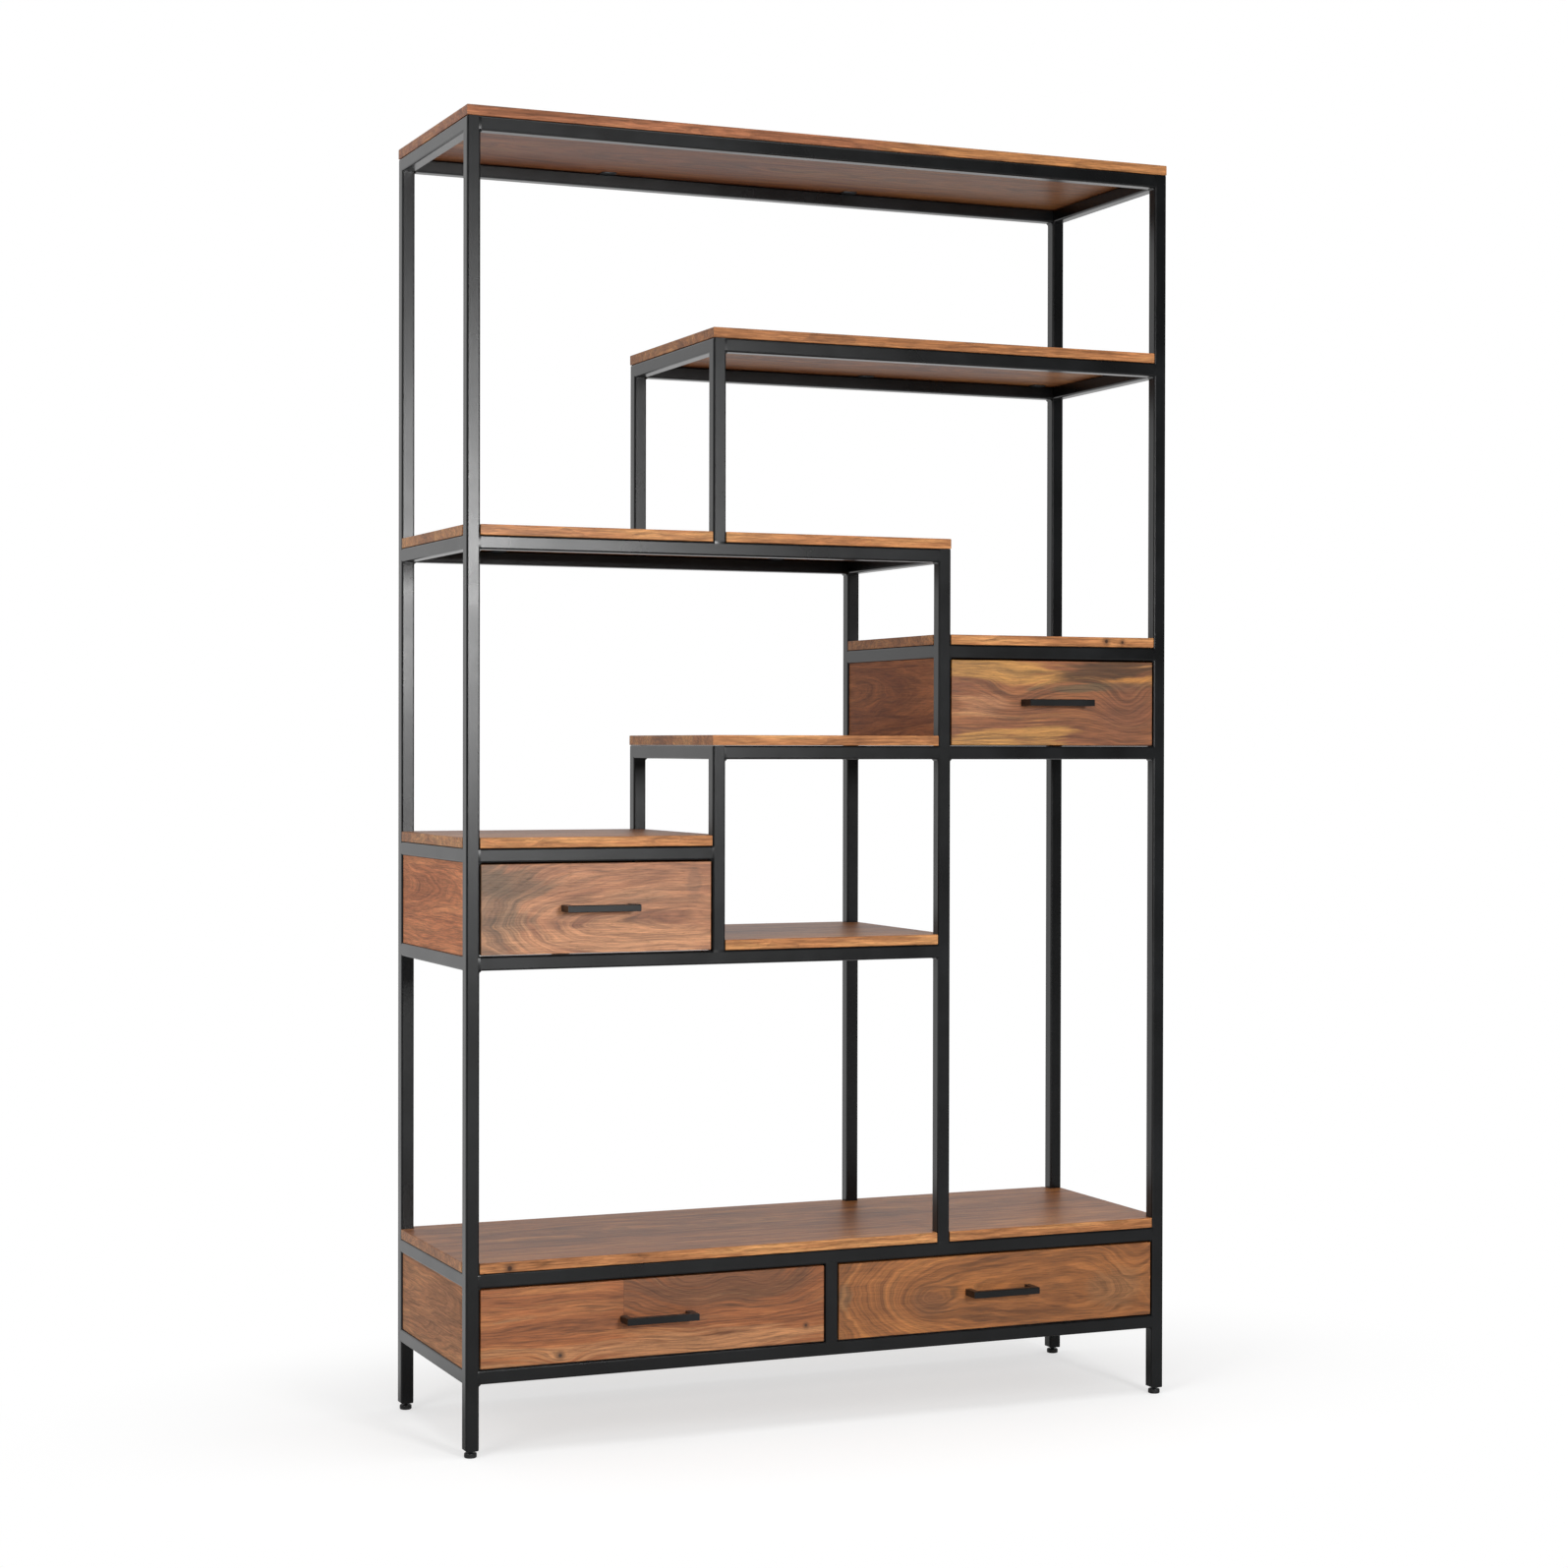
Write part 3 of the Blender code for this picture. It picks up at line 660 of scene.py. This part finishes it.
def moulded_plastic(name):
    """Black moulded plastic of the glides."""
    material, tree, shader, place = new_material(name)
    grain = noise(tree, place, PLASTIC_WAVES, detail=2.0)
    put(tree, shader.inputs["Base Color"], mix(tree, grain, *[colour(code) for code in PLASTIC_TONES]))
    put(tree, shader.inputs["Roughness"], times_plus(tree, grain, PLASTIC_UNEVENNESS, PLASTIC_ROUGHNESS))
    bump(tree, shader, grain, PLASTIC_RELIEF, PLASTIC_RELIEF_STRENGTH)
    return material


def dress(node, material):
    """Give a CAD node its finish."""
    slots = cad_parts[node].data.materials
    slots.clear()
    slots.append(material)


def middle_of(node):
    """The middle of a node's box."""
    low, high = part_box(node)
    return tuple((a + b) / 2 for a, b in zip(low, high))


def edge_knots(node, knots):
    """A board's knots as points on its front edge, measured from the board's middle."""
    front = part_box(node)[0][1]
    middle = middle_of(node)
    return [(x - middle[0], front - middle[1], lift, size) for x, lift, size in knots]


def dress_boards():
    """Shelves of staves that run along the bookcase."""
    for name, (offset, seed, knots) in BOARDS.items():
        is_top = name == "top_board"
        material = wood(name + "_wood", TOP_TONES if is_top else BOARD_TONES, grain="X", across="Y",
                        centre=middle_of(name), stave_offset=offset, seed=seed, pith=(0.03, -0.05),
                        tilt=0.03, streaks=0.30, rings=0.40, knots=edge_knots(name, knots),
                        patches=TOP_PATCHES if is_top else None, edge_painted_light=EDGE_PAINTED_LIGHT,
                        gloss=0.38, coat=0.05, specular=0.14)
        dress(name, material)


def dress_panels():
    """Side panels, whose grain runs from front to back, and plain panels behind the drawers."""
    for name, (tones, seed) in PANELS.items():
        material = wood(name + "_wood", tones, grain="Y", across="Z", centre=middle_of(name),
                        stave=PANEL_STAVE, stave_offset=0.02, seed=seed, pith=(0.01, -0.04), tilt=0.08,
                        streaks=0.20, rings=0.32, gloss=0.55, coat=0.0, specular=0.25)
        dress(name, material)
    inner = wood("back_panel_wood", INNER_TONES, seed=71.0, stave=ONE_STAVE, streaks=0.2, rings=0.3,
                 gloss=0.5)
    for name in ("left_box_back", "right_box_back", "base_back"):
        dress(name, inner)


def dress_drawers(steel):
    """Each front has its own figure; the boxes are plain."""
    box_wood = wood("drawer_box_wood", INNER_TONES, seed=103.0, stave=ONE_STAVE, streaks=0.15, rings=0.25,
                    gloss=0.5)
    for name, look in FRONTS.items():
        look = {"stave": FRONT_STAVE, "stave_offset": FRONT_STAVE / 2, **look}
        material = wood(name + "_front_wood", centre=middle_of(name + "_front"), spread=0.4, coat=0.12,
                        gloss=0.42, **look)
        dress(name + "_front", material)
        dress(name + "_box", box_wood)
        dress(name + "_handle", steel)


def dress_frame(steel):
    """Every length of tube, and the feet."""
    plastic = moulded_plastic("glide_plastic")
    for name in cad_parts:
        if name.startswith("foot_"):
            dress(name, plastic)
        elif name.endswith("_frame") or "_rail_" in name or name == "centre_upright":
            dress(name, steel)


def node_group(name, sizes):
    """An empty geometry tree with named number inputs and a material input."""
    tree = bpy.data.node_groups.new(name, "GeometryNodeTree")
    tree.interface.new_socket("Geometry", in_out="INPUT", socket_type="NodeSocketGeometry")
    for label in sizes:
        tree.interface.new_socket(label, in_out="INPUT", socket_type="NodeSocketFloat")
    tree.interface.new_socket("Material", in_out="INPUT", socket_type="NodeSocketMaterial")
    tree.interface.new_socket("Geometry", in_out="OUTPUT", socket_type="NodeSocketGeometry")
    start = tree.nodes.new("NodeGroupInput").outputs
    end = tree.nodes.new("NodeGroupOutput").inputs
    return tree, start, end


def add(tree, kind, **values):
    """A geometry node with its inputs set or joined by name."""
    node = tree.nodes.new(kind)
    for label, value in values.items():
        put(tree, node.inputs[label.replace("_", " ")], value)
    return node


def point(tree, **values):
    """A vector from its parts."""
    return add(tree, "ShaderNodeCombineXYZ", **values).outputs[0]


def swept(tree, line, outline, caps=True):
    """A solid made by drawing an outline along a line."""
    sweep = add(tree, "GeometryNodeCurveToMesh", Curve=line, Profile_Curve=outline, Fill_Caps=caps)
    return sweep.outputs["Mesh"]


def rounded_outline(tree, width, height, corner):
    """A rectangle with round corners."""
    square = add(tree, "GeometryNodeCurvePrimitiveQuadrilateral", Width=width, Height=height)
    fillet = tree.nodes.new("GeometryNodeFilletCurve")
    fillet.mode = "POLY"
    put(tree, fillet.inputs["Curve"], square.outputs["Curve"])
    put(tree, fillet.inputs["Radius"], corner)
    fillet.inputs["Count"].default_value = CORNER_STEPS
    return fillet.outputs["Curve"]


def spread_on_points(tree, start, end, unit):
    """Put a unit piece on every point, turned by the point's own turn, as one real mesh."""
    turn = add(tree, "GeometryNodeInputNamedAttribute", Name="turn")
    turn.data_type = "FLOAT_VECTOR"
    as_rotation = add(tree, "FunctionNodeEulerToRotation", Euler=turn.outputs["Attribute"])
    copies = add(tree, "GeometryNodeInstanceOnPoints", Points=start["Geometry"], Instance=unit,
                 Rotation=as_rotation.outputs[0])
    real = add(tree, "GeometryNodeRealizeInstances", Geometry=copies.outputs["Instances"])
    painted = add(tree, "GeometryNodeSetMaterial", Geometry=real.outputs["Geometry"],
                  Material=start["Material"])
    tree.links.new(painted.outputs["Geometry"], end["Geometry"])


def bar_tree():
    """A short bar of rounded square section along X, on each point."""
    tree, start, end = node_group("rounded_bar", ("Size", "Corner", "Length"))
    ends = [point(tree, X=times(tree, start["Length"], share)) for share in (-0.5, 0.5)]
    line = add(tree, "GeometryNodeCurvePrimitiveLine", Start=ends[0], End=ends[1])
    outline = rounded_outline(tree, start["Size"], start["Size"], start["Corner"])
    spread_on_points(tree, start, end, swept(tree, line.outputs["Curve"], outline))
    return tree


def tab_tree():
    """A small plate with round corners and a screw head, on each point."""
    tree, start, end = node_group("screw_tab", ("Length", "Width", "Thickness", "Corner", "Head", "Rise"))
    outline = rounded_outline(tree, start["Length"], start["Width"], start["Corner"])
    line = add(tree, "GeometryNodeCurvePrimitiveLine", End=point(tree, Z=start["Thickness"]))
    plate = swept(tree, line.outputs["Curve"], outline)
    head = add(tree, "GeometryNodeMeshUVSphere", Segments=HEAD_SEGMENTS, Rings=HEAD_RINGS,
               Radius=start["Head"])
    flat = math_node(tree, "DIVIDE", start["Rise"], start["Head"])
    domed = add(tree, "GeometryNodeTransform", Geometry=head.outputs["Mesh"],
                Scale=point(tree, X=1.0, Y=1.0, Z=flat))
    join = tree.nodes.new("GeometryNodeJoinGeometry")
    tree.links.new(plate, join.inputs[0])
    tree.links.new(domed.outputs["Geometry"], join.inputs[0])
    spread_on_points(tree, start, end, join.outputs[0])
    return tree


def thread_tree():
    """A stack of thin rings up from each point, for a screw thread."""
    tree, start, end = node_group("thread", ("Radius", "Wire", "Pitch", "Height"))
    count = math_node(tree, "DIVIDE", start["Height"], start["Pitch"])
    line = add(tree, "GeometryNodeMeshLine", Offset=point(tree, Z=start["Pitch"]), Count=count)
    circle = add(tree, "GeometryNodeCurvePrimitiveCircle", Resolution=THREAD_STEPS, Radius=start["Radius"])
    wire = add(tree, "GeometryNodeCurvePrimitiveCircle", Resolution=WIRE_STEPS, Radius=start["Wire"])
    ring = swept(tree, circle.outputs["Curve"], wire.outputs["Curve"], caps=False)
    stack = add(tree, "GeometryNodeInstanceOnPoints", Points=line.outputs["Mesh"], Instance=ring)
    real = add(tree, "GeometryNodeRealizeInstances", Geometry=stack.outputs["Instances"])
    spread_on_points(tree, start, end, real.outputs["Geometry"])
    return tree


def grow(name, tree, points, sizes, material, body):
    """Run a tree on turned points and keep the result as a plain piece of a body."""
    seed_mesh = bpy.data.meshes.new(name + "_points")
    seed_mesh.from_pydata([place for place, turn in points], [], [])
    turns = seed_mesh.attributes.new("turn", "FLOAT_VECTOR", "POINT")
    for value, (place, turn) in zip(turns.data, points):
        value.vector = turn
    carrier = bpy.data.objects.new(name + "_points", seed_mesh)
    bpy.context.scene.collection.objects.link(carrier)
    modifier = carrier.modifiers.new("grow", "NODES")
    modifier.node_group = tree
    values = dict(sizes, Material=material)
    for item in tree.interface.items_tree:
        if item.in_out == "INPUT" and item.name in values:
            modifier[item.identifier] = values[item.name]
    shown = carrier.evaluated_get(bpy.context.evaluated_depsgraph_get())
    mesh = bpy.data.meshes.new_from_object(shown)
    mesh.name = name
    bpy.data.objects.remove(carrier, do_unlink=True)
    piece = bpy.data.objects.new(name, mesh)
    bpy.context.scene.collection.objects.link(piece)
    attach(piece, body)


def rail_ends():
    """The two ends of every rail, with the side that faces its post."""
    ends = []
    for name in sorted(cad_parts):
        if "_rail_" not in name:
            continue
        low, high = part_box(name)
        y, z = middle_of(name)[1:]
        ends.append((low[0], y, z, -1))
        ends.append((high[0], y, z, 1))
    return ends


def upright_ends(tube):
    """Where uprights stand on a rail or end under one, with the side that faces it."""
    ends = []
    for name in ("upper_step_frame", "lower_step_frame", "column_frame", "centre_upright"):
        low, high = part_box(name)
        x = (low[0] + high[0]) / 2
        front = low[1] + tube / 2
        ends.append((x, front, low[2], -1))
        if name == "centre_upright":
            ends.append((x, front, high[2], 1))
        else:
            ends.append((x, high[1] - tube / 2, low[2], -1))
    return ends


def make_welds(steel):
    """Ground welds that carry each tube's section into its neighbour, and the beads under the rails."""
    bar = bar_tree()
    low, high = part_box("centre_upright")
    tube = high[0] - low[0]
    plug = {"Size": tube + 2 * PLUG_PROUD, "Corner": PLUG_CORNER, "Length": PLUG_LENGTH}
    inset = PLUG_LENGTH / 2 - PLUG_OVERLAP
    points = [((x + side * inset, y, z), STRAIGHT) for x, y, z, side in rail_ends()]
    points += [((x, y, z + side * inset), UPRIGHT) for x, y, z, side in upright_ends(tube)]
    grow("ground_welds", bar, points, plug, steel, "frame")
    bead = {"Size": BEAD_SIZE, "Corner": BEAD_SIZE * BEAD_CORNER_SHARE, "Length": BEAD_LENGTH}
    corners = [((x + side * BEAD_SHIFT, y, z - tube / 2), ALONG_CORNER) for x, y, z, side in rail_ends()]
    grow("weld_beads", bar, corners, bead, steel, "frame")


def make_tabs(steel):
    """Steel tabs under the boards, welded to the inner side of the rails."""
    sizes = {"Length": TAB_LENGTH, "Width": TAB_WIDTH, "Thickness": TAB_THICKNESS, "Corner": TAB_CORNER,
             "Head": SCREW_HEAD, "Rise": SCREW_RISE}
    points = []
    for ring in TAB_RINGS:
        for side in ("front", "back"):
            low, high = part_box(f"{ring}_rail_{side}")
            y = high[1] + TAB_WIDTH / 2 if side == "front" else low[1] - TAB_WIDTH / 2
            for share in TAB_SHARES.get(ring, TAB_OTHER_SHARES):
                x = low[0] + share * (high[0] - low[0])
                points.append(((x, y, high[2]), UPSIDE_DOWN))
    grow("screw_tabs", tab_tree(), points, sizes, steel, "frame")


def make_threads(steel):
    """The threads of the stems that show between the glides and the legs."""
    tree = thread_tree()
    leg_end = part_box("left_end_frame")[0][2]
    sizes = {"Radius": STEM_RADIUS, "Wire": THREAD_WIRE, "Pitch": THREAD_PITCH,
             "Height": leg_end - GLIDE_HEIGHT}
    for end in ("front", "back"):
        for side in ("left", "right"):
            node = f"foot_{end}_{side}"
            x, y = middle_of(node)[:2]
            place = (x, y, GLIDE_HEIGHT + THREAD_WIRE)
            grow(node + "_thread", tree, [(place, STRAIGHT)], sizes, steel, node)


def white_light(tree, strength=1.0):
    """A shader that glows white."""
    glow = tree.nodes.new("ShaderNodeEmission")
    glow.inputs["Color"].default_value = WHITE
    put(tree, glow.inputs["Strength"], strength)
    return glow.outputs[0]


def backdrop_share(tree, place):
    """How far a place or a direction is towards the backdrop, behind the bookcase."""
    return steps_between(tree, parts_of(tree, place)["Y"], *BACKDROP_EDGE)


def ray_kinds(tree):
    """Whether a ray comes from the eye, and whether it was mirrored or came through a clear piece."""
    rays = tree.nodes.new("ShaderNodeLightPath").outputs
    gloss = math_node(tree, "MAXIMUM", rays["Is Glossy Ray"], rays["Is Transmission Ray"])
    return rays["Is Camera Ray"], gloss


def floor_paint():
    """Pale paint that takes the shadow near the bookcase and is plain white further out."""
    material, tree, shader, place = new_material("white_floor")
    shader.inputs["Base Color"].default_value = (FLOOR_TONE, FLOOR_TONE, FLOOR_TONE, 1.0)
    shader.inputs["Roughness"].default_value = FLOOR_ROUGHNESS
    shader.inputs["Specular IOR Level"].default_value = 0.0
    length = tree.nodes.new("ShaderNodeVectorMath")
    length.operation = "LENGTH"
    put(tree, length.inputs[0], mapped(tree, place, scale=FLOOR_OVAL))
    far = steps_between(tree, length.outputs["Value"], *FLOOR_FADE)
    eye, gloss = ray_kinds(tree)
    seen = math_node(tree, "MAXIMUM", eye, times(tree, gloss, backdrop_share(tree, place)))
    both = tree.nodes.new("ShaderNodeAddShader")
    tree.links.new(shader.outputs[0], both.inputs[0])
    tree.links.new(white_light(tree, times(tree, seen, FLOOR_GLOW)), both.inputs[1])
    blend = tree.nodes.new("ShaderNodeMixShader")
    put(tree, blend.inputs[0], times(tree, far, seen))
    tree.links.new(both.outputs[0], blend.inputs[1])
    tree.links.new(white_light(tree), blend.inputs[2])
    tree.links.new(blend.outputs[0], tree.nodes["Material Output"].inputs["Surface"])
    return material


def make_floor():
    """A wide flat floor."""
    mesh = bpy.data.meshes.new("floor")
    corners = [(x * FLOOR_REACH, y * FLOOR_REACH, 0) for x, y in ((-1, -1), (1, -1), (1, 1), (-1, 1))]
    mesh.from_pydata(corners, [], [(0, 1, 2, 3)])
    mesh.materials.append(floor_paint())
    floor = bpy.data.objects.new("floor", mesh)
    bpy.context.scene.collection.objects.link(floor)


def make_world():
    """Soft light from all round: white for the eye, and for gloss a white backdrop and a dark studio."""
    world = bpy.data.worlds.new("studio")
    bpy.context.scene.world = world
    world.use_nodes = True
    tree = world.node_tree
    back = tree.nodes["Background"]
    back.inputs["Color"].default_value = WHITE
    direction = tree.nodes.new("ShaderNodeTexCoord").outputs["Generated"]
    mirrored = times_plus(tree, backdrop_share(tree, direction), 1.0 - STUDIO_DARK, STUDIO_DARK)
    eye, gloss = ray_kinds(tree)
    light = times_plus(tree, gloss, minus(tree, mirrored, WORLD_FILL), WORLD_FILL)
    put(tree, back.inputs["Strength"], times_plus(tree, eye, 1.0 - WORLD_FILL, light))


def make_lamps():
    """A key from the front, a fill from the left and a soft top light."""
    for name, (place, size, power) in LAMPS.items():
        light = bpy.data.lights.new(name, "AREA")
        light.shape = "RECTANGLE"
        light.size, light.size_y = size
        light.energy = power
        lamp = bpy.data.objects.new(name, light)
        lamp.location = place
        lamp.rotation_euler = (Vector(LAMP_AIM) - Vector(place)).to_track_quat("-Z", "Y").to_euler()
        lamp.visible_camera = False
        bpy.context.scene.collection.objects.link(lamp)


def make_camera():
    """The photograph's viewpoint."""
    data = bpy.data.cameras.new("camera")
    data.lens = LENS_MM
    data.sensor_width = SENSOR_MM
    data.shift_x = SHIFT_ACROSS
    data.shift_y = SHIFT_UP
    camera = bpy.data.objects.new("camera", data)
    camera.location = CAMERA_PLACE
    level = math.radians(90)
    turn = Euler((level + CAMERA_PITCH, 0.0, -CAMERA_TURN), "XYZ").to_matrix()
    turn = turn @ Matrix.Rotation(CAMERA_ROLL, 3, "Z")
    camera.rotation_euler = turn.to_euler()
    bpy.context.scene.collection.objects.link(camera)
    bpy.context.scene.camera = camera


make_camera()
make_world()
make_lamps()
make_floor()
black = powder_coat("black_powder_coat", FRAME_BLACK, FRAME_ROUGHNESS)
handle_black = powder_coat("handle_powder_coat", HANDLE_BLACK, HANDLE_ROUGHNESS)
zinc = dull_steel("zinc_steel")
dress_frame(black)
dress_boards()
dress_panels()
dress_drawers(handle_black)
make_welds(black)
make_tabs(zinc)
make_threads(zinc)

scene = bpy.context.scene
scene.view_settings.view_transform = "Standard"
